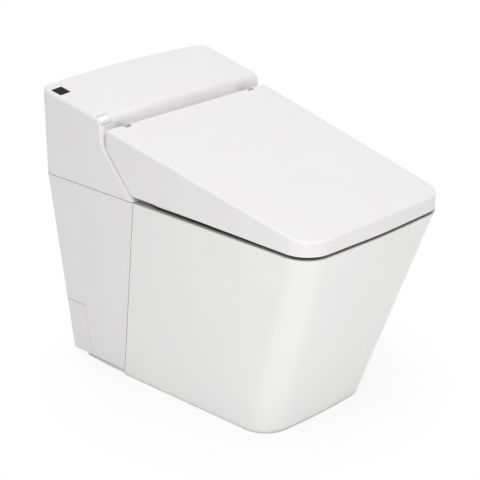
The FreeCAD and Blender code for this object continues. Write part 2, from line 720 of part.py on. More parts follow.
def make_chassis_bolts():
    """Two bolts that hold the chassis to the ceramic deck, each with a washer and a nut."""
    bolts = []
    for side in (-1, 1):
        x, y = side * CHASSIS_BOLT_X, CHASSIS_BOLT_Y
        shank = rod(4.0, V(x, y, RIM_Z - DECK_DEPTH - 14), V(x, y, RIM_Z + CHASSIS_PLATE + 1))
        head = hexagon(x, y, RIM_Z + CHASSIS_PLATE, 7.5, 5.0)
        washer = rod(11.0, V(x, y, RIM_Z - DECK_DEPTH - 2), V(x, y, RIM_Z - DECK_DEPTH))
        nut = hexagon(x, y, RIM_Z - DECK_DEPTH - 9, 6.5, 7.0)
        bolts.append(fused([shank, head, washer, nut]))
    return bolts


def hexagon(x, y, z, across, height):
    """Six-sided nut."""
    corners = [V(x + across * math.cos(math.radians(60 * i)), y + across * math.sin(math.radians(60 * i)), z)
               for i in range(7)]
    return Part.Face(Part.makePolygon(corners)).extrude(V(0, 0, height))


# ---------------------------------------------------------------- hinge

def make_hinge_bracket(side):
    """Cast bracket on the chassis, whose ear reaches through the casing to the hinge axis."""
    down, out = lean_direction()
    axis = V(0, HINGE_Y, HINGE_Z)
    x0 = side * EAR_INNER_X
    x1 = side * (EAR_INNER_X + EAR_WIDTH)
    knuckle = rod(EAR_RADIUS, V(x0, axis.y, axis.z), V(x1, axis.y, axis.z))
    neck = neck_zone(side, 0.0)
    low, high = min(x0, x1) + 1, max(x0, x1) - 1
    column = box(low, high, 183, 207, RIM_Z + CHASSIS_PLATE, 482)
    keep = side_prism([(100, 600), (100, 430), (207, 430), (207, 600)], [0] * 4, 300)
    foot = box(low - 10, high + 10, 172, 218, RIM_Z + CHASSIS_PLATE, RIM_Z + CHASSIS_PLATE + 4)
    body = fused([knuckle, neck.common(keep), column, foot])
    bore = rod(PIN_RADIUS + PIN_SEAT_GAP, V(x0 - side, axis.y, axis.z), V(x1 + side, axis.y, axis.z))
    return body.cut(bore)


def pin_span():
    """Where a hinge pin starts and ends, measured from the middle of the toilet."""
    inner = EAR_INNER_X - EAR_GAP - 9.0
    outer = EAR_INNER_X + EAR_WIDTH + EAR_GAP + LID_BOSS_WIDTH
    return inner, outer


def make_hinge_pins():
    """Two steel pins, fast in the ears, on which the seat and the lid turn."""
    inner, outer = pin_span()
    pins = []
    for side in (-1, 1):
        pins.append(rod(PIN_RADIUS, V(side * inner, HINGE_Y, HINGE_Z), V(side * outer, HINGE_Y, HINGE_Z)))
    return pins


# ---------------------------------------------------------------- lid

def lid_lean():
    """Unit vector down along the lid's rear edge, and the one square to it, to the rear."""
    angle = math.radians(REAR_LEAN)
    down = V(0, -math.sin(angle), -math.cos(angle))
    back = V(0, math.cos(angle), -math.sin(angle))
    return down, back


def lid_slope():
    """Slope of the lid's top: it touches the barrel and meets the front at its height."""
    run = HINGE_Y - Y_FRONT
    rise = HINGE_Z - LID_FRONT_TOP_Z
    reach = math.hypot(run, rise)
    return math.atan2(rise, run) + math.asin(BARREL_RADIUS / reach)


def lid_form(inset):
    """The lid's outside, or its hollow when set in by the wall."""
    radius = BARREL_RADIUS - inset
    slope = lid_slope()
    axis = V(0, HINGE_Y, HINGE_Z)
    top = axis + V(0, -math.sin(slope), math.cos(slope)) * radius
    down, back = lid_lean()
    turn = axis + back * radius
    middle_angle = (math.radians(90) + slope - math.radians(REAR_LEAN)) / 2
    middle = axis + V(0, math.cos(middle_angle), math.sin(middle_angle)) * radius
    front_y = Y_FRONT - 5
    front = V(0, front_y, top.z - (top.y - front_y) * math.tan(slope))
    drop = 30.0 if inset else 0.0
    rear_low = turn + down * ((turn.z - LID_REAR_BOTTOM_Z) / -down.z)
    if inset:
        rear_low = rear_low + down * 40.0
    front_low = V(0, front_y, LID_FRONT_BOTTOM_Z - drop)
    edges = [Part.LineSegment(front, top).toShape(), Part.Arc(top, middle, turn).toShape(),
             Part.LineSegment(turn, rear_low).toShape(), Part.LineSegment(rear_low, front_low).toShape(),
             Part.LineSegment(front_low, front).toShape()]
    wire = Part.Wire(edges)
    wire.translate(V(-300, 0, 0))
    profile = Part.Face(wire).extrude(V(600, 0, 0))
    rear_y = HINGE_Y + BARREL_RADIUS - inset
    plan = rim_prism(RIM_Z - 20, 560.0, inset, rear_y + 0.01, LID_REAR_CORNER - inset)
    return profile.common(plan).common(lid_crown(inset))


def lid_crown(inset):
    """Block under the lid's crowned top, which falls more at its sides towards the front."""
    slope = lid_slope()
    top_y = HINGE_Y - math.sin(slope) * BARREL_RADIUS
    top_z = HINGE_Z + math.cos(slope) * BARREL_RADIUS
    sections = []
    for y, drop in ((HINGE_Y + 20, LID_CREASE_DROP_REAR), (Y_FRONT - 5, LID_CREASE_DROP)):
        mid = top_z + (y - top_y) * math.tan(slope) - inset / math.cos(slope) + 0.02
        half = half_rim(y)
        left, right = V(-half, y, mid - drop), V(half, y, mid - drop)
        edges = [Part.LineSegment(V(-half, y, 350), left).toShape(),
                 Part.Arc(left, V(0, y, mid), right).toShape(),
                 Part.LineSegment(right, V(half, y, 350)).toShape(),
                 Part.LineSegment(V(half, y, 350), V(-half, y, 350)).toShape()]
        sections.append(Part.Wire(edges))
    return Part.makeLoft(sections, True, True)


def on_lid_top(edge):
    """The edge round the lid's top, at both sides, the corners and the front."""
    where = edge.CenterOfMass
    slope = lid_slope()
    top_z = HINGE_Z + math.cos(slope) * BARREL_RADIUS
    height = top_z + (where.y - HINGE_Y) * math.tan(slope)
    near = height - LID_CREASE_DROP - 3 < where.z < height + 3
    outside = abs(where.x) > half_rim(where.y) - CORNER_RIM or where.y < Y_FRONT + FRONT_BOW + 1
    return near and outside and where.y < HINGE_Y - 8 and not upright(edge)


def lid_boss(side):
    """Web inside the lid that turns on the pin."""
    x0 = side * (EAR_INNER_X + EAR_WIDTH + EAR_GAP)
    x1 = x0 + side * LID_BOSS_WIDTH
    ring = rod(LID_BOSS_RADIUS, V(x0, HINGE_Y, HINGE_Z), V(x1, HINGE_Y, HINGE_Z))
    slab = box(min(x0, x1), max(x0, x1), HINGE_Y - 60, HINGE_Y + 30, HINGE_Z, HINGE_Z + 40)
    slab = slab.common(lid_form(LID_WALL - 0.5))
    return fused([ring, slab])


def lid_back_opening():
    """Room below the lid's barrel, between its side walls, where the seat's arms pass as the lid opens."""
    axis = V(0, HINGE_Y, HINGE_Z)
    edge = math.radians(LID_BARREL_EDGE)
    reach = 60.0
    points = [(axis.y, axis.z), (axis.y + reach * math.cos(edge), axis.z - reach * math.sin(edge)),
              (axis.y + reach, RIM_Z - 20), (HINGE_Y - 83.0, RIM_Z - 20)]
    room = side_prism(points, [0] * 4, LID_BACK_HALF)
    across = V(LID_BACK_HALF + 1, 0, 0)
    return room.cut(rod(LID_BOSS_RADIUS + 1, axis - across, axis + across))


def make_lid():
    """Hollow wedge-shaped lid with a crowned top, open behind, notched at its rear edge for the two ears."""
    outer = smoothed(lid_form(0.0), LID_EDGE_RADIUS, on_lid_top)
    shell = outer.cut(lid_form(LID_WALL))
    down, back = lid_lean()
    notches = []
    bores = []
    for side in (-1, 1):
        x0 = side * (EAR_INNER_X - EAR_GAP)
        x1 = side * (EAR_INNER_X + EAR_WIDTH + EAR_GAP)
        low, high = min(x0, x1), max(x0, x1)
        corner = V(0, HINGE_Y, HINGE_Z) + down * NOTCH_DEPTH
        points = [(HINGE_Y - 5.0, 560.0), (HINGE_Y - 5.0, HINGE_Z), (corner.y, corner.z),
                  (corner.y + 40, corner.z - 40), (HINGE_Y + 60, 560.0)]
        wire = rounded_wire(points, [0] * 5, in_side(low))
        notches.append(Part.Face(wire).extrude(V(high - low, 0, 0)))
        reach = side * (EAR_INNER_X + EAR_WIDTH + EAR_GAP + LID_BOSS_WIDTH + 0.4)
        bores.append(rod(PIN_RADIUS + RUNNING_FIT, V(x0, HINGE_Y, HINGE_Z), V(reach, HINGE_Y, HINGE_Z)))
    ribs = lid_ribs()
    lid = fused([shell, lid_boss(-1), lid_boss(1)] + ribs)
    return lid.cut(notches + bores + [lid_back_opening()])


def lid_ribs():
    """Two shallow ribs along the inside of the top."""
    ribs = []
    inside = lid_form(LID_WALL - 0.5)
    below = lid_form(LID_WALL + 4.0)
    for x in (-70.0, 70.0):
        strip = box(x - 1.2, x + 1.2, Y_FRONT + 40, HINGE_Y - 100, 380, 560)
        ribs.append(inside.common(strip).cut(below))
    return ribs


def make_lid_buffers():
    """Four rubber buffers inside the lid's edge that rest on the seat."""
    pads = []
    for side in (-1, 1):
        for y in (-285.0, -190.0):
            x = side * (half_rim(y) - 34.0)
            slope = lid_slope()
            top_z = HINGE_Z + math.cos(slope) * BARREL_RADIUS + (y - HINGE_Y) * math.tan(slope)
            pad = rod(5.0, V(x, y, SEAT_TOP_Z + 0.3), V(x, y, top_z))
            pads.append(pad.common(lid_form(LID_WALL + 0.02)))
    return pads


# ---------------------------------------------------------------- seat

def seat_wire(inset, z):
    """Outer plan of the seat."""
    front = Y_FRONT + SEAT_INSET + inset
    shoulder = front + FRONT_BOW
    rear = SEAT_REAR_Y - inset
    half_front = half_rim(shoulder) - SEAT_INSET - inset
    half_rear = half_rim(rear) - SEAT_INSET - inset
    points = [(0, bow_tip(front, half_front)), (half_front, shoulder), (half_rear, rear), (-half_rear, rear),
              (-half_front, shoulder)]
    corner = SEAT_CORNER - inset
    rear_corner = SEAT_REAR_CORNER - inset
    return rounded_wire(points, [BOW_RADIUS, corner, rear_corner, rear_corner, corner], in_plan(z))


def seat_hole_wire(inset, z):
    """Outline of the hole in the seat."""
    half = SEAT_HOLE_HALF + inset
    front = SEAT_HOLE_FRONT_Y - inset
    rear = SEAT_HOLE_REAR_Y + inset
    radii = [SEAT_HOLE_FRONT_CORNER + inset] * 2 + [SEAT_HOLE_REAR_CORNER + inset] * 2
    return rounded_wire([(-half, front), (half, front), (half, rear), (-half, rear)], radii, in_plan(z))


def seat_ring(inset, z0, z1):
    """Ring of the seat between two heights, thinner all round by the inset."""
    outer = Part.Face(seat_wire(inset, z0)).extrude(V(0, 0, z1 - z0))
    hole = Part.Face(seat_hole_wire(inset, z0 - 1))
    return outer.cut(hole.extrude(V(0, 0, z1 - z0 + 2)))


def seat_arm(side):
    """Arm that climbs along the casing's front from the seat to the hinge barrel."""
    down, back = lid_lean()
    axis = V(0, HINGE_Y, HINGE_Z)
    x_out = EAR_INNER_X - EAR_GAP
    x_in = x_out - ARM_WIDTH
    low = min(side * x_in, side * x_out)
    barrel = Part.makeCylinder(ARM_RADIUS, ARM_WIDTH, V(low, axis.y, axis.z), V(1, 0, 0))
    reach = (axis.z - SEAT_BOTTOM_Z) / -down.z
    rear, front = axis + back * ARM_BACK, axis - back * ARM_RADIUS
    corners = [rear, rear + down * reach, front + down * (reach + 15), front]
    wire = Part.makePolygon([V(low, p.y, p.z) for p in corners + corners[:1]])
    strap = Part.Face(wire).extrude(V(ARM_WIDTH, 0, 0))
    strap = strap.common(box(-300, 300, 0, 300, SEAT_TOP_Z - SEAT_SKIN, 600))
    body = fused([barrel, strap])
    pin = rod(PIN_RADIUS + RUNNING_FIT, V(side * (x_in - 1), axis.y, axis.z),
              V(side * (x_out + 1), axis.y, axis.z))
    pocket = rod(DAMPER_RADIUS, V(side * (x_in - 1), axis.y, axis.z),
                 V(side * (x_in + DAMPER_LENGTH), axis.y, axis.z))
    return body.cut([pin, pocket])


def make_seat_top():
    """Upper shell of the seat, with the two arms that climb to the hinge."""
    ring = seat_ring(0.0, SEAT_BOTTOM_Z + 4, SEAT_TOP_Z)
    ring = smoothed(ring, SEAT_EDGE_RADIUS, lambda e: e.BoundBox.ZMin > SEAT_TOP_Z - 0.01)
    pocket = seat_ring(SEAT_SKIN, SEAT_BOTTOM_Z, SEAT_TOP_Z - SEAT_SKIN - 1)
    shell = ring.cut(pocket)
    return fused([shell, seat_arm(-1), seat_arm(1)])


def make_seat_base():
    """Lower plate of the seat, which closes the upper shell."""
    return seat_ring(0.6, SEAT_BOTTOM_Z, SEAT_BOTTOM_Z + 3.7)


def make_seat_heater():
    """Heating foil under the seat's upper skin."""
    top = SEAT_TOP_Z - SEAT_SKIN - 1.3
    return seat_ring(SEAT_SKIN + 12.0, top - 0.8, top)


def make_seat_buffers():
    """Four rubber buffers under the seat that rest on the rim."""
    pads = []
    for side in (-1, 1):
        for y in (-250.0, 20.0):
            x = side * (half_rim(y) - 40.0)
            cone = Part.makeCone(9.0, 7.5, SEAT_BOTTOM_Z - RIM_Z - 0.3, V(x, y, RIM_Z + 0.3), V(0, 0, 1))
            pads.append(cone)
    return pads


def make_dampers():
    """Soft-close dampers, one in each arm's barrel."""
    bodies = []
    for side in (-1, 1):
        start = EAR_INNER_X - EAR_GAP - ARM_WIDTH + 0.2
        end = start + DAMPER_LENGTH - 1.5
        body = rod(DAMPER_RADIUS - 0.05, V(side * start, HINGE_Y, HINGE_Z), V(side * end, HINGE_Y, HINGE_Z))
        bodies.append(body)
    return bodies


# ---------------------------------------------------------------- nozzle

def tilted(shape):
    """Turn a piece from the wand's own axes into its place: its tip is the origin, +Y runs back."""
    shape.rotate(V(0, 0, 0), V(1, 0, 0), NOZZLE_TILT)
    shape.translate(V(0, NOZZLE_TIP_Y, NOZZLE_TIP_Z))
    return shape


def rack_line():
    """Height of the rack's pitch line above the wand's middle."""
    return WAND_RADIUS + DEDENDUM * RACK_MODULE + 0.5


def make_wand():
    """Spray wand with a rack along its back."""
    body = rod(WAND_RADIUS, V(0, 14.0, 0), V(0, WAND_LENGTH, 0))
    spigot = rod(WAND_RADIUS - 2.2, V(0, 6.0, 0), V(0, 14.5, 0))
    pitch = math.pi * RACK_MODULE
    start = PINION_SEAT - 9.0
    count = int((WAND_TRAVEL + 18.0) / pitch)
    root = rack_line() - DEDENDUM * RACK_MODULE
    crown = rack_line() + RACK_ADDENDUM * RACK_MODULE
    lean = math.tan(math.radians(20))
    half_pitch = pitch / 4 - MESH_BACKLASH / 2
    first = PINION_SEAT - round((PINION_SEAT - start) / pitch) * pitch
    outline = [(first - pitch / 2, 2.0), (first - pitch / 2, root)]
    for i in range(count):
        middle = first + i * pitch
        outline += [(middle - half_pitch - DEDENDUM * RACK_MODULE * lean, root),
                    (middle - half_pitch + RACK_ADDENDUM * RACK_MODULE * lean, crown),
                    (middle + half_pitch - RACK_ADDENDUM * RACK_MODULE * lean, crown),
                    (middle + half_pitch + DEDENDUM * RACK_MODULE * lean, root)]
    end = first + (count - 0.5) * pitch
    outline += [(end, root), (end, 2.0)]
    wire = rounded_wire(outline, [0] * len(outline), in_side(-PINION_WIDTH / 2))
    rack = Part.Face(wire).extrude(V(PINION_WIDTH, 0, 0))
    return tilted(fused([body, spigot, rack]))


def make_wand_tip():
    """Removable end of the wand, with its round nose and two rows of spray holes."""
    nose_y = WAND_RADIUS * 0.95
    slant = WAND_RADIUS * math.sqrt(0.5)
    bore = WAND_RADIUS - TIP_WALL
    nose = Part.Arc(V(0, nose_y - WAND_RADIUS, 0), V(slant, nose_y - slant, 0), V(WAND_RADIUS, nose_y, 0))
    corners = [V(WAND_RADIUS, nose_y, 0), V(WAND_RADIUS, TIP_LENGTH, 0), V(bore, TIP_LENGTH, 0),
               V(bore, TIP_BORE_START, 0), V(0, TIP_BORE_START, 0), V(0, nose_y - WAND_RADIUS, 0)]
    wire = Part.Wire([nose.toShape()] + Part.makePolygon(corners).Edges)
    tip = Part.Face(wire).revolve(V(0, 0, 0), V(0, 1, 0), 360)
    holes = []
    for y, x in ((7.4, 0.0), (10.6, -2.2), (10.6, 2.2)):
        holes.append(rod(0.9, V(x, y, 1.0), V(x, y, 12.0)))
    return tilted(tip.cut(holes))


def make_nozzle_guide():
    """Open channel that the wand slides in, with a foot on each side."""
    inner = WAND_RADIUS + GUIDE_GAP
    outer = inner + GUIDE_WALL
    start, end = 18.0, 150.0
    channel = box(-outer, outer, start, end, -outer, 5.0)
    channel = channel.cut(rod(inner, V(0, start - 1, 0), V(0, end + 1, 0)))
    channel = channel.cut(box(-inner, inner, start - 1, end + 1, 0, 6.0))
    front_foot = box(-outer + 3, outer - 3, start + 6, start + 22, 0.3 - BAY_DEPTH, 1 - outer)
    channel = tilted(fused([channel, front_foot]))
    post = box(-6, 6, 164, 176, RIM_Z + CHASSIS_PLATE, 405.5)
    return fused([channel, post])


def pinion_centre():
    """Axle of the pinion in the wand's own axes."""
    return V(0, PINION_SEAT, rack_line() + PINION_TEETH * RACK_MODULE / 2)


def involute(base, angle):
    """Point of the involute of a circle."""
    return (base * (math.cos(angle) + angle * math.sin(angle)),
            base * (math.sin(angle) - angle * math.cos(angle)))


def make_pinion():
    """Spur pinion of involute teeth that drives the rack, on its shaft."""
    pitch_radius = PINION_TEETH * RACK_MODULE / 2
    base = pitch_radius * math.cos(math.radians(20))
    tip = pitch_radius + RACK_MODULE * 0.95
    root = pitch_radius - 1.2 * RACK_MODULE
    tip_angle = math.sqrt((tip / base) ** 2 - 1)
    pitch_angle = math.sqrt((pitch_radius / base) ** 2 - 1)
    at_pitch = involute(base, pitch_angle)
    half_tooth = math.pi / (2 * PINION_TEETH) - MESH_BACKLASH / (2 * pitch_radius)
    turn = math.atan2(at_pitch[1], at_pitch[0]) + half_tooth
    flank = [(root, -turn)]
    for step in range(5):
        px, py = involute(base, tip_angle * step / 4)
        flank.append((math.hypot(px, py), math.atan2(py, px) - turn))
    points = []
    for tooth in range(PINION_TEETH):
        middle = -math.pi / 2 + math.pi / PINION_TEETH + tooth * 2 * math.pi / PINION_TEETH
        for radius, angle in flank:
            points.append((radius * math.cos(middle + angle), radius * math.sin(middle + angle)))
        for radius, angle in reversed(flank):
            points.append((radius * math.cos(middle - angle), radius * math.sin(middle - angle)))
    wire = rounded_wire(points, [0] * len(points), in_side(-PINION_WIDTH / 2))
    gear = Part.Face(wire).extrude(V(PINION_WIDTH, 0, 0))
    shaft = rod(SHAFT_RADIUS, V(-PINION_WIDTH / 2 - 2, 0, 0), V(PINION_WIDTH / 2 + 8, 0, 0))
    body = fused([gear, shaft])
    body.translate(pinion_centre())
    return tilted(body)


def make_nozzle_motor():
    """Stepper motor beside the channel, with a socket for the pinion's shaft."""
    centre = pinion_centre()
    start = WAND_RADIUS + GUIDE_GAP + GUIDE_WALL + 0.3
    body = rod(MOTOR_RADIUS, V(start, centre.y, centre.z), V(start + MOTOR_LENGTH, centre.y, centre.z))
    face = rod(5.0, V(start - 3.0, centre.y, centre.z), V(start + 1, centre.y, centre.z))
    bore = rod(SHAFT_RADIUS + RUNNING_FIT, V(0, centre.y, centre.z), V(start + 1.0, centre.y, centre.z))
    lug = box(start, start + 3, centre.y - 16, centre.y + 16, centre.z - 17, centre.z - 9)
    return tilted(fused([body, face, lug]).cut(bore))


# ---------------------------------------------------------------- ducts, fan, filter

def duct_side(grow):
    """Side-view outline of a duct from the works down to its mouth above the basin."""
    return [(62.0, 364.0 - grow), (150.0, 412.0 - grow), (200.0, 412.0 - grow), (200.0, 438.0 + grow),
            (160.0, 438.0 + grow), (128.0, 424.0 + grow), (74.0, 388.0 + grow)]


def make_duct(middle_x):
    """Thin-walled duct, open at both ends."""
    outer = side_prism(duct_side(0.0), [0] * 7, DUCT_WIDTH / 2, middle_x)
    inner_points = [(45.0, 364.0 - 9.2 + DUCT_WALL), (150.0, 412.0 + DUCT_WALL), (215.0, 412.0 + DUCT_WALL),
                    (215.0, 438.0 - DUCT_WALL), (160.0, 438.0 - DUCT_WALL), (128.0, 424.0 - DUCT_WALL),
                    (56.0, 376.0 - DUCT_WALL)]
    inner = side_prism(inner_points, [0] * 7, DUCT_WIDTH / 2 - DUCT_WALL, middle_x)
    leg = box(middle_x - 8, middle_x + 8, 182, 190, RIM_Z + CHASSIS_PLATE, 412.0 + DUCT_WALL / 2)
    return fused([outer.cut(inner), leg])


def flap_axis():
    """Hinge axis of the dryer's flap, at the top of the duct's mouth."""
    return V(0, 72.9, 389.9)


def make_dryer_flap():
    """Sprung flap over the dryer's mouth, on a short round pin."""
    axis = flap_axis()
    lower = V(0, 61.2, 363.6)
    along = (lower - axis).normalize()
    out = V(0, along.z, -along.y)
    half = DUCT_WIDTH / 2
    corners = [axis + out * 0.6, axis + out * 2.1, lower + out * 2.1, lower + out * 0.6]
    wire = Part.makePolygon([V(DUCT_MID_X - half, p.y, p.z) for p in corners + corners[:1]])
    leaf = Part.Face(wire).extrude(V(DUCT_WIDTH, 0, 0))
    pin = rod(1.4, V(DUCT_MID_X - half - 3, axis.y, axis.z), V(DUCT_MID_X + half + 3, axis.y, axis.z))
    return fused([leaf, pin])


def make_flap_lugs():
    """Two lugs beside the dryer's mouth that hold the flap's pin."""
    axis = flap_axis()
    lugs = []
    for side in (-1, 1):
        x0 = DUCT_MID_X + side * (DUCT_WIDTH / 2 + 0.4)
        x1 = x0 + side * 2.4
        low, high = min(x0, x1), max(x0, x1)
        ring = rod(3.2, V(low, axis.y, axis.z), V(high, axis.y, axis.z))
        slab = box(low, high, axis.y, axis.y + 16, axis.z - 3.2, axis.z + 3.2)
        bore = rod(1.4 + RUNNING_FIT, V(low - 1, axis.y, axis.z), V(high + 1, axis.y, axis.z))
        lug = fused([ring, slab]).cut(bore)
        lugs.append(lug)
    return lugs


def fan_centre():
    """Middle of the dryer's fan on the chassis."""
    return V(DUCT_MID_X - DUCT_WIDTH / 2 + FAN_RADIUS, FAN_Y, RIM_Z + CHASSIS_PLATE)


def make_fan_housing():
    """Round fan housing with an intake in its lid and a spout into the duct."""
    centre = fan_centre()
    z0 = centre.z + 15.0
    z1 = z0 + FAN_HEIGHT - 9.0
    drum = Part.makeCylinder(FAN_RADIUS, z1 - z0, V(centre.x, centre.y, z0))
    hollow = Part.makeCylinder(FAN_RADIUS - 2, z1 - z0 - 4, V(centre.x, centre.y, z0 + 2))
    intake = Part.makeCylinder(22.0, 20, V(centre.x, centre.y, z1 - 5))
    axle = Part.makeCylinder(5.0, 20, V(centre.x, centre.y, z0 - 5))
    x0, x1 = DUCT_MID_X - DUCT_WIDTH / 2, DUCT_MID_X + DUCT_WIDTH / 2
    spout = box(x0, x1, 200.3, centre.y, z0, z1)
    throat = box(x0 + 2, x1 - 2, 199.0, centre.y, z0 + 2, z1 - 2)
    return fused([drum, spout]).cut([hollow, throat, intake, axle])


def make_fan_wheel():
    """Fan wheel: hub, plate and a ring of upright blades, on its shaft."""
    centre = fan_centre()
    z0 = centre.z + 15.0 + 3.0
    plate = Part.makeCylinder(WHEEL_RADIUS, 1.6, V(centre.x, centre.y, z0))
    hub = Part.makeCylinder(8.0, 10.0, V(centre.x, centre.y, z0))
    shaft = Part.makeCylinder(SHAFT_RADIUS, 14.0, V(centre.x, centre.y, z0 - 12.0))
    blade = box(WHEEL_RADIUS - 10, WHEEL_RADIUS - 0.5, -0.6, 0.6, 0, WHEEL_HEIGHT - 6)
    blade.rotate(V(WHEEL_RADIUS - 5, 0, 0), V(0, 0, 1), 32)
    blades = []
    for i in range(WHEEL_BLADES):
        copy = blade.copy()
        copy.rotate(V(0, 0, 0), V(0, 0, 1), 360.0 * i / WHEEL_BLADES)
        copy.translate(V(centre.x, centre.y, z0))
        blades.append(copy)
    return fused([plate, hub, shaft] + blades)


def make_fan_motor():
    """Motor under the fan, with a socket for the wheel's shaft."""
    centre = fan_centre()
    body = Part.makeCylinder(16.0, 12.0, centre)
    flange = Part.makeCylinder(20.0, 2.9, centre + V(0, 0, 12.0))
    bore = Part.makeCylinder(SHAFT_RADIUS + RUNNING_FIT, 20.0, centre + V(0, 0, 4.0))
    return fused([body, flange]).cut(bore)


def make_filter_cassette():
    """Deodorising cassette behind the intake duct: a frame round a ribbed carbon block."""
    x0, x1 = -DUCT_MID_X - 20.0, -DUCT_MID_X + 20.0
    frame = box(x0, x1, 200.4, 236.0, 404.0, 446.0)
    frame = frame.cut(box(x0 + 3, x1 - 3, 190.0, 233.0, 407.0, 443.0))
    bars = [box(x, x + 2.0, 203.0, 234.0, 406.0, 444.0) for x in (x0 + 8, x0 + 16, x0 + 24, x0 + 32)]
    legs = [box(x, x + 6, 209, 230, RIM_Z + CHASSIS_PLATE, 404.5) for x in (x0 + 2, x1 - 8)]
    return fused([frame] + bars + legs)


# ---------------------------------------------------------------- water works

def make_water_heater():
    """Instant heater: ribbed block with two end caps and two hose stubs."""
    z0 = RIM_Z + CHASSIS_PLATE
    core = box(-176, -92, 223, 263, z0, z0 + 40)
    ribs = [box(x, x + 3, 220, 266, z0, z0 + 43) for x in range(-174, -94, 10)]
    stubs = [rod(4.5, V(x, 243, z0 + 38), V(x, 243, z0 + 58)) for x in (-164, -104)]
    return fused([core] + ribs + stubs)


def make_inlet_valve():
    """Inlet solenoid valve: threaded spigot, body and coil."""
    x, y, z = INLET_POINT
    body = box(x - 20, x + 20, 264, 298, z - 18, z + 18)
    spigot = rod(INLET_RADIUS, V(x, 298, z), V(x, y, z))
    collar = rod(14.0, V(x, 297, z), V(x, 306, z))
    coil = rod(13.0, V(x, 281, z + 17), V(x, 281, z + 50))
    plate = box(x - 24, x + 24, 262, 266, z - 36, z + 30)
    return fused([body, spigot, collar, coil, plate])


def make_supply_pipe():
    """Rigid pipe from the inlet valve up to the works."""
    x, _, z = INLET_POINT
    points = [V(x + 20.3, 281, z), V(x + 44, 281, z), V(x + 44, 281, RIM_Z + 12)]
    return pipe_along(points, 6.0, 12.0)


def make_flush_tank():
    """Blow-moulded booster tank behind the trap: hollow, with rounded corners, two bands and a neck."""
    x0, x1, y0, y1, z0, z1 = TANK_BOX
    body = smoothed(box(*TANK_BOX), TANK_CORNER, upright_short)
    bands = []
    for z in (z0 + 76, z0 + 192):
        band = box(x0 - 1.5, x1 + 1.5, y0 - 1.5, y1 + 1.5, z, z + 8)
        bands.append(smoothed(band, TANK_CORNER - 1, upright_short))
    neck = rod(16.0, V(TANK_NECK_X, PUMP_Y, z0 - 12), V(TANK_NECK_X, PUMP_Y, z0 + 5))
    wall = TANK_WALL
    hollow = box(x0 + wall, x1 - wall, y0 + wall, y1 - wall, z0 + wall, z1 - wall)
    hollow = smoothed(hollow, TANK_CORNER - wall, upright_short)
    mouth = rod(12.0, V(TANK_NECK_X, PUMP_Y, z0 - 13), V(TANK_NECK_X, PUMP_Y, z0 + 10))
    return fused([body, neck] + bands).cut([hollow, mouth])


def upright_short(edge):
    """Any vertical edge."""
    box_ = edge.BoundBox
    return box_.XLength < 0.01 and box_.YLength < 0.01


def make_flush_pump():
    """Flush pump: motor drum on a volute, with a suction stub and a jet stub."""
    drum = rod(27.0, V(PUMP_X, PUMP_Y, 70), V(PUMP_X, PUMP_Y, 140))
    volute = rod(PUMP_RADIUS, V(PUMP_X, PUMP_Y, PUMP_SEAT_Z), V(PUMP_X, PUMP_Y, 70.2))
    cap = rod(20.0, V(PUMP_X, PUMP_Y, 139.8), V(PUMP_X, PUMP_Y, 150))
    suction = rod(12.0, V(PUMP_X + 30, PUMP_Y, PIPE_Z), V(18, PUMP_Y, PIPE_Z))
    jet = rod(10.0, V(PUMP_X - 24, PUMP_Y, PIPE_Z), V(PUMP_X - 24, 206, PIPE_Z))
    return fused([drum, volute, cap, suction, jet])


def make_tank_pipe():
    """Elbow from the tank's neck to the pump."""
    down = rod(12.0, V(TANK_NECK_X, PUMP_Y, TANK_BOX[4] - 12.3), V(TANK_NECK_X, PUMP_Y, PIPE_Z - 12))
    across = rod(12.0, V(TANK_NECK_X, PUMP_Y, PIPE_Z), V(18.3, PUMP_Y, PIPE_Z))
    return fused([down, across])


def make_jet_pipe():
    """Pipe from the pump forward and up to the underside of the sump."""
    points = [V(PUMP_X - 24, 205.7, PIPE_Z), V(PUMP_X - 24, 120, PIPE_Z), V(JET_X, JET_Y, PIPE_Z + 17),
              V(JET_X, JET_Y, SUMP_Z - CHINA - 0.3)]
    return pipe_along(points, 10.0, 20.0)


def make_support_frame():
    """Bent steel tray on the foot that carries the tank, the pump and the inlet valve."""
    z0 = FOOT_HEIGHT
    sheet = 2.0
    half = FOOT_HALF - 4.0
    x0, x1, y0, y1, tank_z, _ = TANK_BOX
    shelf_z = tank_z - 0.2
    tray = box(-half, half, 210, 300, z0, z0 + sheet)
    back = box(-half, half, 298, 300, z0, z0 + 22)
    risers = [box(x0, x1, y0, y0 + sheet, z0, shelf_z), box(x0, x1, y1 - sheet, y1, z0 + 10, shelf_z)]
    ledge = box(x0, x1, 298, y1, z0 + 10, z0 + 12)
    shelf = box(x0, x1, y0, y1, shelf_z - sheet, shelf_z)
    ring = rod(PUMP_RADIUS + 2, V(PUMP_X, PUMP_Y, z0), V(PUMP_X, PUMP_Y, PUMP_SEAT_Z))
    ring = ring.cut(rod(PUMP_RADIUS - 6, V(PUMP_X, PUMP_Y, z0 - 5), V(PUMP_X, PUMP_Y, PUMP_SEAT_Z + 5)))
    strap = box(-150, -100, 258.2, 262, z0, 262)
    frame = fused([tray, back, ledge, shelf, ring, strap] + risers)
    hole = rod(19.0, V(TANK_NECK_X, PUMP_Y, 60), V(TANK_NECK_X, PUMP_Y, 120))
    wells = [rod(12.0, V(x, FOOT_BOLT_Y, 5), V(x, FOOT_BOLT_Y, 20)) for x in (-FOOT_BOLT_X, FOOT_BOLT_X)]
    return frame.cut([hole] + wells)


# ---------------------------------------------------------------- electrics

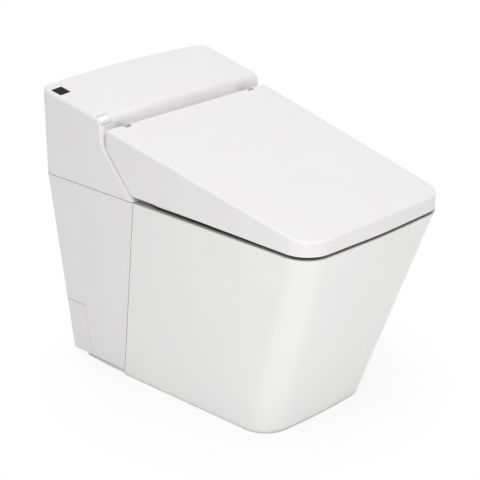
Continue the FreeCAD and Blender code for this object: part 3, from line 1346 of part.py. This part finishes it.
def make_control_board():
    """Control board on four posts, with its relays, chips and a heat sink."""
    z0 = 470.0
    board = box(-180, -40, 268, 322, z0, z0 + 1.6)
    posts = [rod(3.0, V(x, y, RIM_Z + CHASSIS_PLATE), V(x, y, z0)) for x in (-174, -46) for y in (274, 308)]
    relays = [box(x, x + 16, 300, 316, z0 + 1.6, z0 + 17) for x in (-170, -148, -126)]
    chips = [box(x, x + 14, 276, 286, z0 + 1.6, z0 + 4) for x in (-160, -130, -100)]
    sink = [box(x, x + 2, 276, 312, z0 + 1.6, z0 + 22) for x in range(-80, -50, 6)]
    base = box(-80, -54, 276, 312, z0 + 1.6, z0 + 4)
    return fused([board, base] + posts + relays + chips + sink)


def make_power_supply():
    """Potted power supply in a louvred steel case."""
    z0 = RIM_Z + CHASSIS_PLATE
    case = box(132, 190, 222, 304, z0, z0 + 46)
    slots = [box(140, 182, y, y + 4, z0 + 43, z0 + 50) for y in range(232, 296, 12)]
    return case.cut(slots)


def make_cord_gland():
    """Gland in the casing's rear wall where the mains lead comes in."""
    flange = tube(13.0, 5.0, V(-150, Y_BACK - SKIN - 2.2, 425), V(-150, Y_BACK - SKIN - 0.1, 425))
    sleeve = tube(8.9, 5.0, V(-150, Y_BACK - SKIN - 2.2, 425), V(-150, Y_BACK - 0.2, 425))
    return fused([flange, sleeve])


def make_receiver_board():
    """Small receiver board under the window, on a post."""
    z0 = casing_top(WINDOW_X, WINDOW_Y) - 18
    board = box(WINDOW_X - 2, WINDOW_X + 24, WINDOW_Y - 22, WINDOW_Y + 4, z0, z0 + 1.6)
    eye = rod(3.0, V(WINDOW_X + 4, WINDOW_Y - 12, z0 + 1.6), V(WINDOW_X + 4, WINDOW_Y - 12, z0 + 7))
    post = rod(2.5, V(WINDOW_X + 20, WINDOW_Y - 18, 471.6), V(WINDOW_X + 20, WINDOW_Y - 18, z0))
    return fused([board, eye, post])


def make_button_switch():
    """Switch under the button's stem."""
    nose = bevel_point()
    inward = V(0, 1, -1).normalize()
    x_mid = BUTTON_LEFT_X + BUTTON_WIDTH / 2 + 2
    base = V(x_mid, nose.y, nose.z) + inward * 26.2
    return rod(5.0, base, base + inward * 7.0)


# ---------------------------------------------------------------- writing

def write(name, shape):
    """Write one piece, or several loose solids of one kind, as one file."""
    solid = Part.makeCompound(shape) if isinstance(shape, list) else shape
    if isinstance(solid, Part.Compound) and len(solid.Solids) == 1:
        solid = solid.Solids[0]
    solid.exportStep("parts/" + name + ".step")
    print(name, len(solid.Solids), "valid" if solid.isValid() else "NOT VALID", round(solid.Volume))


def main():
    os.makedirs("parts", exist_ok=True)
    cover = make_side_cover()
    panel = make_pipe_panel()
    pieces = {
        "ceramic_bowl": make_ceramic_bowl,
        "side_cover_left": lambda: cover,
        "side_cover_right": lambda: mirrored(cover),
        "pipe_panel_left": lambda: panel,
        "pipe_panel_right": lambda: mirrored(panel),
        "upper_casing": make_casing,
        "receiver_window": make_window,
        "flush_button": make_flush_button,
        "button_guide": make_button_guide,
        "button_switch": make_button_switch,
        "chassis": make_chassis,
        "chassis_bolts": make_chassis_bolts,
        "hinge_bracket_left": lambda: make_hinge_bracket(-1),
        "hinge_bracket_right": lambda: make_hinge_bracket(1),
        "hinge_pins": make_hinge_pins,
        "lid": make_lid,
        "lid_buffers": make_lid_buffers,
        "seat_top": make_seat_top,
        "seat_base": make_seat_base,
        "seat_heater": make_seat_heater,
        "seat_buffers": make_seat_buffers,
        "soft_close_dampers": make_dampers,
        "nozzle_wand": make_wand,
        "nozzle_tip": make_wand_tip,
        "nozzle_guide": make_nozzle_guide,
        "nozzle_pinion": make_pinion,
        "nozzle_motor": make_nozzle_motor,
        "dryer_duct": lambda: make_duct(DUCT_MID_X),
        "intake_duct": lambda: make_duct(-DUCT_MID_X),
        "dryer_flap": make_dryer_flap,
        "flap_lugs": make_flap_lugs,
        "fan_housing": make_fan_housing,
        "fan_wheel": make_fan_wheel,
        "fan_motor": make_fan_motor,
        "filter_cassette": make_filter_cassette,
        "water_heater": make_water_heater,
        "inlet_valve": make_inlet_valve,
        "supply_pipe": make_supply_pipe,
        "flush_tank": make_flush_tank,
        "flush_pump": make_flush_pump,
        "tank_pipe": make_tank_pipe,
        "jet_pipe": make_jet_pipe,
        "support_frame": make_support_frame,
        "control_board": make_control_board,
        "power_supply": make_power_supply,
        "cord_gland": make_cord_gland,
        "receiver_board": make_receiver_board,
    }
    for name, make in pieces.items():
        write(name, make())


main()
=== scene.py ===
"""Dress of the smart toilet: finishes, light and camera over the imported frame.

Metres, +Z up, the front of the bowl faces -Y, the wall is at +Y.
"""

import json
import math

import bmesh
import bpy
import numpy as np
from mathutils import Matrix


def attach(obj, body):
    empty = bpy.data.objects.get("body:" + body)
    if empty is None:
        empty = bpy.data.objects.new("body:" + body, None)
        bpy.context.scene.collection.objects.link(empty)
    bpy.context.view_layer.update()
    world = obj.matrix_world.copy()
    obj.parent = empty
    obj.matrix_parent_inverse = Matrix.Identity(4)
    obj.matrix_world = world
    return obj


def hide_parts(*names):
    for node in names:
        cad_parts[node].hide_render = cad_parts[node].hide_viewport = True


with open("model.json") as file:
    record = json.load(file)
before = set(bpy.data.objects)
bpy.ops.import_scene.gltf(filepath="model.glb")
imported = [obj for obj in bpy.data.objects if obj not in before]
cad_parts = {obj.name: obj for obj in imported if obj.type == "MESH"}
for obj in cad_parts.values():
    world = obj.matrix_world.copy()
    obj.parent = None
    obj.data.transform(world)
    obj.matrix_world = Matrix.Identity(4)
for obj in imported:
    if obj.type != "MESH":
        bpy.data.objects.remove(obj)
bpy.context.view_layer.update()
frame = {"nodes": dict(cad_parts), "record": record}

MM = 0.001

# surfaces of the frame's nodes
WELD_DISTANCE = 0.004 * MM       # corners of the loose triangles nearer than this are one point
SHARP_ANGLE = 27.0               # degrees; a fold above this stays a crisp edge
FLAT_FACE_WEIGHT = 80            # large flat faces keep their shading beside small rounded ones

# studio floor, distances from the middle of the object
FLOOR_RADIUS = 9.0
FLOOR_SIDES = 72
SHADOW_REACH = 0.24              # up to here the floor keeps its shadow
WHITE_FROM = 0.46                # from here out it is white
FLOOR_LIFT = 0.84                # how far the floor by the object is lifted to white

# light: strength of the room, then name, place, aim, side in metres and power in watts of each lamp
ROOM_LIGHT = 0.465
BACKGROUND_LIGHT = 1.0
LAMPS = [
    ("lamp_above", (-0.45, -0.75, 3.1), (0.0, 0.0, 0.3), 3.6, 60.0),
    ("lamp_by_the_camera", (-1.15, -1.25, 0.35), (-0.1, -0.25, 0.25), 0.5, 4.4),
]

# camera of the photograph: degrees, metres, and pixels of its frame
CAMERA_AZIMUTH = -44.875
CAMERA_ELEVATION = 22.979
CAMERA_TARGET = (-0.00875, 0.0, 0.29001)
CAMERA_DISTANCE = 2.80644
PHOTO_SIDE_PX = 480.0
FOCAL_LENGTH_PX = 1506.35
LENS_AXIS_PX = (241.546, 240.80)
SENSOR_WIDTH_MM = 36.0


# ---------------------------------------------------------------- colours and nodes

def linear(hex_colour):
    """sRGB hex to linear RGBA."""
    srgb = np.array([int(hex_colour[i:i + 2], 16) for i in (1, 3, 5)]) / 255.0
    low = srgb / 12.92
    high = ((srgb + 0.055) / 1.055) ** 2.4
    return tuple(np.where(srgb <= 0.04045, low, high)) + (1.0,)


def add(tree, kind, settings=None, **links):
    """Adds one shader node. settings are its properties. links feed its sockets with a socket, a value
    or a hex colour, each under the socket's name or, where a name repeats, as i and its number."""
    node = tree.nodes.new(kind)
    for name, value in (settings or {}).items():
        setattr(node, name, value)
    for name, value in links.items():
        key = int(name[1:]) if name[0] == "i" and name[1:].isdigit() else name.replace("_", " ")
        socket = node.inputs[key]
        if isinstance(value, bpy.types.NodeSocket):
            tree.links.new(value, socket)
        elif isinstance(value, str):
            socket.default_value = linear(value)
        else:
            socket.default_value = value
    return node


def repeats(size_mm):
    """How often a feature of a size in millimetres repeats in a metre, for a pattern's scale."""
    return 1000.0 / size_mm


def new_finish(name):
    """Empty material, its nodes, and the Object coordinates that its patterns read."""
    material = bpy.data.materials.new(name)
    material.use_nodes = True
    tree = material.node_tree
    tree.nodes.clear()
    return material, tree, add(tree, "ShaderNodeTexCoord").outputs["Object"]


def two_shades(tree, pattern, dark, light):
    """Colour that goes from one shade to another as a noise pattern goes from 0.3 to 0.7."""
    share = add(tree, "ShaderNodeMapRange", Value=pattern, From_Min=0.3, From_Max=0.7)
    return add(tree, "ShaderNodeMix", {"data_type": "RGBA"}, i0=share.outputs[0], i6=dark,
               i7=light).outputs[2]


def painted_crevice_shade(tree, colour, reach, depth):
    """Painted shade: darkens a colour to a share, depth, in seams and gaps narrower than reach, where light
    is short.
    """
    near = add(tree, "ShaderNodeAmbientOcclusion", {"samples": 6}, Distance=reach)
    openness = add(tree, "ShaderNodeMapRange", {"interpolation_type": "SMOOTHSTEP"},
                   Value=near.outputs["AO"], From_Min=0.05, From_Max=0.62, To_Min=depth, To_Max=1.0)
    # painted shade: the colour goes toward this near black where ambient occlusion finds a gap close
    return add(tree, "ShaderNodeMix", {"data_type": "RGBA"}, i0=openness.outputs[0], i6="#1B1A1A",
               i7=colour).outputs[2]


def rounded_normal(tree, edge, relief, strength, height):
    """Normal that rounds the edges by a small radius and carries a fine relief of a height."""
    rounded = add(tree, "ShaderNodeBevel", {"samples": 6}, Radius=edge)
    return add(tree, "ShaderNodeBump", Strength=strength, Distance=height, Height=relief,
               Normal=rounded.outputs[0]).outputs[0]


def close_finish(tree, colour, roughness, **rest):
    """Surface shader fed by the patterns, with the values that are the same all over set on its sockets."""
    shader = add(tree, "ShaderNodeBsdfPrincipled", Base_Color=colour, Roughness=roughness, **rest)
    add(tree, "ShaderNodeOutputMaterial", Surface=shader.outputs[0])


# ---------------------------------------------------------------- finishes

# Grain, speckle and brushed lines are finer on the real surfaces. Here they are coarse enough to show.

def glazed_china():
    """Vitreous china, slip cast and glazed: a hard clear gloss, faintly uneven where the glaze flowed, with
    painted shade in its tight gaps.
    """
    material, tree, place = new_finish("glazed_vitreous_china")
    flow = add(tree, "ShaderNodeTexNoise", Vector=place, Scale=repeats(111.1), Detail=2.0)
    peel = add(tree, "ShaderNodeTexNoise", Vector=place, Scale=repeats(4.167), Detail=1.0)
    body = two_shades(tree, flow.outputs[0], "#EFF0EF", "#F3F3F1")
    gloss = add(tree, "ShaderNodeMapRange", Value=flow.outputs[0], To_Min=0.10, To_Max=0.16)
    normal = rounded_normal(tree, 2.4 * MM, peel.outputs[0], strength=0.05, height=0.15 * MM)
    # painted shade: the body colour darkens to 3 percent in gaps closer than 16 mm
    close_finish(tree, painted_crevice_shade(tree, body, reach=16.0 * MM, depth=0.03), gloss.outputs[0],
                 Normal=normal, IOR=1.52, Coat_Weight=0.35, Coat_Roughness=0.05)
    return material


def white_moulding(name, dark, light, rough, edge, reach, depth):
    """White moulding: slight sink over the ribs, the very fine grain of the tool, and painted shade in
    seams and gaps narrower than reach.
    """
    material, tree, place = new_finish(name)
    sink = add(tree, "ShaderNodeTexNoise", Vector=place, Scale=repeats(71.43), Detail=1.0)
    grain = add(tree, "ShaderNodeTexNoise", Vector=place, Scale=repeats(0.7143), Detail=2.0)
    body = two_shades(tree, sink.outputs[0], dark, light)
    gloss = add(tree, "ShaderNodeMapRange", Value=grain.outputs[0], To_Min=rough - 0.03,
                To_Max=rough + 0.04)
    normal = rounded_normal(tree, edge, grain.outputs[0], strength=0.04, height=0.05 * MM)
    # painted shade: the body colour darkens in seams and gaps
    close_finish(tree, painted_crevice_shade(tree, body, reach, depth), gloss.outputs[0], Normal=normal, IOR=1.54)
    return material


def gloss_cover():
    """ABS, injection moulded in a polished tool: a soft gloss, and edges that catch the light."""
    # reach and depth: how far into a gap, and how dark, the painted shade goes
    return white_moulding("gloss_white_ABS", "#EFEDED", "#F1F0F0", rough=0.17, edge=0.9 * MM,
                          reach=2.5 * MM, depth=0.45)


def satin_seat():
    """Polypropylene, moulded in a lightly etched tool: satin, with no sharp reflections."""
    # reach and depth: how far into a gap, and how dark, the painted shade goes
    return white_moulding("satin_white_polypropylene", "#F0F0EF", "#F2F2F1", rough=0.30, edge=0.8 * MM,
                          reach=14.0 * MM, depth=0.04)


def dark_window():
    """Black polycarbonate, moulded and polished: a near-black pane with a trace of violet."""
    material, tree, place = new_finish("black_polycarbonate_window")
    haze = add(tree, "ShaderNodeTexNoise", Vector=place, Scale=repeats(3.333), Detail=2.0)
    body = two_shades(tree, haze.outputs[0], "#060507", "#0B0A0D")
    gloss = add(tree, "ShaderNodeMapRange", Value=haze.outputs[0], To_Min=0.10, To_Max=0.18)
    close_finish(tree, body, gloss.outputs[0], IOR=1.58, Specular_IOR_Level=0.06)
    return material


def satin_plate():
    """Chrome plate on brushed ABS: fine lines along the button, which stretch its highlight."""
    material, tree, place = new_finish("satin_chrome_plate")
    along = add(tree, "ShaderNodeMapping", Vector=place,
                Scale=(repeats(16.67), repeats(0.3333), repeats(0.3333)))
    lines = add(tree, "ShaderNodeTexNoise", Vector=along.outputs[0], Scale=1.0, Detail=2.0)
    body = two_shades(tree, lines.outputs[0], "#D2D3D4", "#E6E6E7")
    gloss = add(tree, "ShaderNodeMapRange", Value=lines.outputs[0], To_Min=0.30, To_Max=0.42)
    normal = rounded_normal(tree, 0.5 * MM, lines.outputs[0], strength=0.10, height=0.05 * MM)
    close_finish(tree, body, gloss.outputs[0], Normal=normal, Metallic=1.0)
    return material


def worked_metal(name, dark, light, smooth, rough, grain_mm, height):
    """Metal whose making shows as a grain, of a size in millimetres along X, Y and Z."""
    material, tree, place = new_finish(name)
    along = add(tree, "ShaderNodeMapping", Vector=place, Scale=tuple(repeats(size) for size in grain_mm))
    grain = add(tree, "ShaderNodeTexNoise", Vector=along.outputs[0], Scale=1.0, Detail=3.0)
    body = two_shades(tree, grain.outputs[0], dark, light)
    gloss = add(tree, "ShaderNodeMapRange", Value=grain.outputs[0], To_Min=smooth, To_Max=rough)
    normal = rounded_normal(tree, 0.4 * MM, grain.outputs[0], strength=0.25, height=height)
    close_finish(tree, body, gloss.outputs[0], Normal=normal, Metallic=1.0)
    return material


def brushed_steel():
    """Stainless steel sheet, rolled and brushed: long fine lines and a stretched highlight."""
    return worked_metal("brushed_stainless_steel", "#A7A9AB", "#C3C5C7", smooth=0.26, rough=0.42,
                        grain_mm=(0.4, 12.5, 0.4), height=0.04 * MM)


def cast_zinc():
    """Zinc alloy, die cast and left raw: dull grey with an even grain."""
    return worked_metal("die_cast_zinc", "#8E9194", "#A9ABAD", smooth=0.42, rough=0.60,
                        grain_mm=(1.111, 1.111, 1.111), height=0.12 * MM)


def heater_foil():
    """Copper foil under clear film, rolled: warm brown metal, slightly wrinkled."""
    return worked_metal("heater_foil", "#B08A5C", "#C9A674", smooth=0.30, rough=0.45,
                        grain_mm=(3.333, 3.333, 3.333), height=0.08 * MM)


def turned_brass():
    """Brass, turned on a lathe: yellow metal with fine tool lines."""
    return worked_metal("turned_brass", "#A9814A", "#C39B5C", smooth=0.25, rough=0.40,
                        grain_mm=(5.0, 0.3333, 5.0), height=0.05 * MM)


def eroded_moulding(name, dark, light, smooth, rough, speckle_mm):
    """Moulding from a tool left as it was eroded: a matt speckle over a cloudy colour."""
    material, tree, place = new_finish(name)
    speckle = add(tree, "ShaderNodeTexVoronoi", Vector=place, Scale=repeats(speckle_mm))
    cloud = add(tree, "ShaderNodeTexNoise", Vector=place, Scale=repeats(40.0), Detail=3.0)
    body = two_shades(tree, cloud.outputs[0], dark, light)
    gloss = add(tree, "ShaderNodeMapRange", Value=cloud.outputs[0], To_Min=smooth, To_Max=rough)
    normal = rounded_normal(tree, 0.5 * MM, speckle.outputs[0], strength=0.25, height=0.08 * MM)
    close_finish(tree, body, gloss.outputs[0], Normal=normal, IOR=1.49)
    return material


def grey_moulding():
    """Polypropylene, injection moulded: matt mid grey."""
    return eroded_moulding("grey_polypropylene_moulding", "#6E7173", "#7B7E80", smooth=0.45, rough=0.60,
                           speckle_mm=0.6667)


def pale_rubber():
    """Silicone rubber, compression moulded: pale and matt, with a bloom."""
    return eroded_moulding("pale_silicone_rubber", "#D5D6D5", "#DEDFDE", smooth=0.60, rough=0.75,
                           speckle_mm=1.111)


def black_nylon():
    """Glass-filled nylon, injection moulded: near black, greyed by the fibres at its skin."""
    return eroded_moulding("black_glass_filled_nylon", "#17181A", "#232527", smooth=0.40, rough=0.55,
                           speckle_mm=0.8333)


def milky_polyethylene():
    """Polyethylene without pigment, blow moulded: milky and waxy."""
    return eroded_moulding("natural_polyethylene", "#D9DAD5", "#E4E5E0", smooth=0.35, rough=0.50,
                           speckle_mm=2.0)


def circuit_board():
    """Glass-epoxy board, etched and masked: green lacquer over copper tracks, in cells of half a grid
    step by a quarter of one, which is 1.25 by 0.63 mm."""
    material, tree, place = new_finish("green_circuit_board")
    grid = add(tree, "ShaderNodeMapping", Vector=place, Scale=(repeats(2.5),) * 3)
    tracks = add(tree, "ShaderNodeTexBrick", Vector=grid.outputs[0], Color1="#0E5A34", Color2="#12703F",
                 Mortar="#3F8F55", Scale=1.0)
    gloss = add(tree, "ShaderNodeMapRange", Value=tracks.outputs[1], To_Min=0.28, To_Max=0.45)
    normal = rounded_normal(tree, 0.3 * MM, tracks.outputs[1], strength=0.20, height=0.05 * MM)
    close_finish(tree, tracks.outputs[0], gloss.outputs[0], Normal=normal)
    return material


FINISHES = {
    "china": glazed_china,
    "white_cover": gloss_cover,
    "seat_white": satin_seat,
    "grey_moulding": grey_moulding,
    "black_window": dark_window,
    "plated": satin_plate,
    "steel": brushed_steel,
    "casting": cast_zinc,
    "rubber": pale_rubber,
    "dark_plastic": black_nylon,
    "foil": heater_foil,
    "board": circuit_board,
    "tank_plastic": milky_polyethylene,
    "brass": turned_brass,
}


# ---------------------------------------------------------------- frame nodes as clean surfaces

def dressed(node, body, material):
    """Copy of a frame node with its loose triangles joined, smooth where the solid is smooth."""
    mesh = frame["nodes"][node].data.copy()
    mesh.name = node + "_finished"
    work = bmesh.new()
    work.from_mesh(mesh)
    bmesh.ops.remove_doubles(work, verts=work.verts, dist=WELD_DISTANCE)
    work.to_mesh(mesh)
    work.free()
    loose_normals = mesh.attributes.get("custom_normal")      # they belong to the unjoined triangles
    if loose_normals:
        mesh.attributes.remove(loose_normals)
    mesh.materials.clear()
    mesh.materials.append(material)
    mesh.shade_smooth()
    mesh.set_sharp_from_angle(angle=math.radians(SHARP_ANGLE))
    piece = bpy.data.objects.new(node + "_finished", mesh)
    bpy.context.scene.collection.objects.link(piece)
    evened = piece.modifiers.new("evened_normals", "WEIGHTED_NORMAL")
    evened.keep_sharp = True
    evened.weight = FLAT_FACE_WEIGHT
    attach(piece, body)
    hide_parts(node)


finishes = {slot_name: make() for slot_name, make in FINISHES.items()}
slot_of = {entry["node"]: entry["material_slot"] for entry in frame["record"]["subparts"]}
body_of = {node: body for body, nodes in frame["record"]["behaviour"]["bodies"].items() for node in nodes}
for node, slot_name in slot_of.items():
    dressed(node, body_of[node], finishes[slot_name])


# ---------------------------------------------------------------- studio

def looked_at(tree):
    """1 for the camera's rays and for those that gloss or glass sends on, so all show the background."""
    path = add(tree, "ShaderNodeLightPath")
    direct = add(tree, "ShaderNodeMath", {"operation": "MAXIMUM"}, i0=path.outputs["Is Camera Ray"],
                 i1=path.outputs["Is Glossy Ray"])
    return add(tree, "ShaderNodeMath", {"operation": "MAXIMUM"}, i0=direct.outputs[0],
               i1=path.outputs["Is Transmission Ray"]).outputs[0]


def studio_floor():
    """Pale floor, a flat disc whose rim is points of a circle, one angle step apart. It takes the
    object's shadow near it, and goes white away from it."""
    turns = np.arange(FLOOR_SIDES) * (2.0 * math.pi / FLOOR_SIDES)
    rim = FLOOR_RADIUS * np.stack([np.cos(turns), np.sin(turns), np.zeros(FLOOR_SIDES)], axis=-1)
    mesh = bpy.data.meshes.new("studio_floor")
    mesh.from_pydata(rim.tolist(), [], [list(range(FLOOR_SIDES))])
    floor = bpy.data.objects.new("studio_floor", mesh)
    bpy.context.scene.collection.objects.link(floor)
    material, tree, place = new_finish("studio_paper")
    paper = add(tree, "ShaderNodeBsdfDiffuse", Color="#F6F6F6")
    white = add(tree, "ShaderNodeEmission", Color="#FFFFFF", Strength=BACKGROUND_LIGHT)
    away = add(tree, "ShaderNodeVectorMath", {"operation": "LENGTH"}, i0=place)
    spread = add(tree, "ShaderNodeMapRange", {"interpolation_type": "SMOOTHSTEP"},
                 Value=away.outputs["Value"], From_Min=SHADOW_REACH, From_Max=WHITE_FROM,
                 To_Min=FLOOR_LIFT, To_Max=1.0)
    lift = add(tree, "ShaderNodeMath", {"operation": "MULTIPLY"}, i0=looked_at(tree), i1=spread.outputs[0])
    mix = add(tree, "ShaderNodeMixShader", i0=lift.outputs[0], i1=paper.outputs[0], i2=white.outputs[0])
    add(tree, "ShaderNodeOutputMaterial", Surface=mix.outputs[0])
    mesh.materials.append(material)


def soft_box(name, place, aim, side, power):
    """Square soft lamp that looks at a point."""
    lamp = bpy.data.lights.new(name, "AREA")
    lamp.shape = "SQUARE"
    lamp.size = side
    lamp.energy = power
    holder = bpy.data.objects.new(name, lamp)
    holder.location = place
    holder.visible_camera = False
    across, along, up = np.array(aim) - np.array(place)
    holder.rotation_euler = (math.atan2(math.hypot(across, along), -up), 0.0, math.atan2(-across, along))
    bpy.context.scene.collection.objects.link(holder)


def white_room():
    """Even light from all round, in front of a white background."""
    world = bpy.data.worlds.new("white_room")
    world.use_nodes = True
    tree = world.node_tree
    tree.nodes.clear()
    room = add(tree, "ShaderNodeBackground", Color="#FFFFFF", Strength=ROOM_LIGHT)
    seen = add(tree, "ShaderNodeBackground", Color="#FFFFFF", Strength=BACKGROUND_LIGHT)
    mix = add(tree, "ShaderNodeMixShader", i0=looked_at(tree), i1=room.outputs[0], i2=seen.outputs[0])
    add(tree, "ShaderNodeOutputWorld", Surface=mix.outputs[0])
    bpy.context.scene.world = world


def photo_camera():
    """Camera where the photograph's was: its angle, height, distance and lens."""
    azimuth, elevation = math.radians(CAMERA_AZIMUTH), math.radians(CAMERA_ELEVATION)
    back = np.array([math.sin(azimuth) * math.cos(elevation), -math.cos(azimuth) * math.cos(elevation),
                     math.sin(elevation)])
    data = bpy.data.cameras.new("photo_camera")
    data.sensor_width = SENSOR_WIDTH_MM
    data.lens = FOCAL_LENGTH_PX / PHOTO_SIDE_PX * SENSOR_WIDTH_MM
    data.shift_x = (PHOTO_SIDE_PX / 2 - LENS_AXIS_PX[0]) / PHOTO_SIDE_PX
    data.shift_y = (LENS_AXIS_PX[1] - PHOTO_SIDE_PX / 2) / PHOTO_SIDE_PX
    camera = bpy.data.objects.new("photo_camera", data)
    camera.location = np.array(CAMERA_TARGET) + back * CAMERA_DISTANCE
    camera.rotation_euler = (math.pi / 2 - elevation, 0.0, azimuth)
    bpy.context.scene.collection.objects.link(camera)
    bpy.context.scene.camera = camera
    bpy.context.scene.view_settings.view_transform = "Standard"


studio_floor()
white_room()
for lamp_values in LAMPS:
    soft_box(*lamp_values)
photo_camera()
